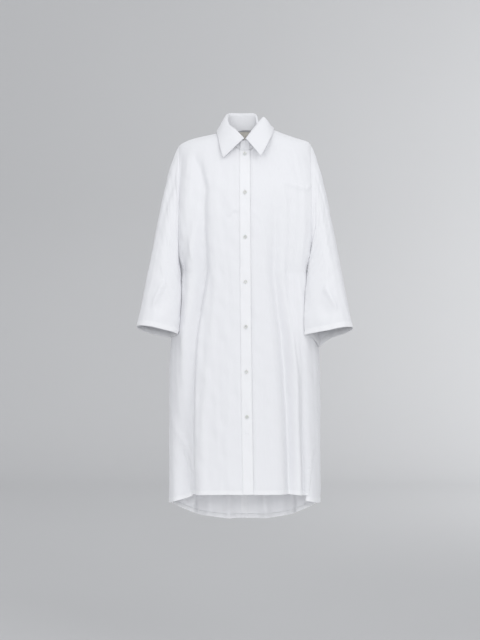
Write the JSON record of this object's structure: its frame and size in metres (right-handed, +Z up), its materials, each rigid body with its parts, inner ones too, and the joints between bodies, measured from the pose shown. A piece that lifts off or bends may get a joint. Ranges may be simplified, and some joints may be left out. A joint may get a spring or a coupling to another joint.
{
  "type": "shirt dress",
  "caption": "Oversized poplin shirt dress in its worn form: turned-down collar, button front, wide bracelet sleeves, back yoke, side slits and a hem that dips at the back.",
  "frame": {"origin": "on the centre plane between the shoulders, at the height where the shoulder seams meet the side of the neck", "axes": "+Z up, -Y out of the front, +X towards the wearer's left"},
  "size_m": [0.6347, 0.289, 1.2405],
  "materials": {
    "poplin": "crisp matt cotton poplin with a faint sheen",
    "label": "smooth woven tape",
    "button": "pearly polyester with a soft gloss"
  },
  "bodies": {
    "root": {"front_right": "poplin", "front_left": "poplin", "back_right": "poplin", "back_left": "poplin", "yoke": "poplin", "placket": "poplin", "sleeve_right": "poplin", "sleeve_left": "poplin", "collar_stand": "poplin", "collar_leaf": "poplin", "neck_label": "label", "button_1": "button", "button_2": "button", "button_3": "button", "button_4": "button", "button_5": "button", "button_6": "button", "button_7": "button"}
  },
  "joints": []
}
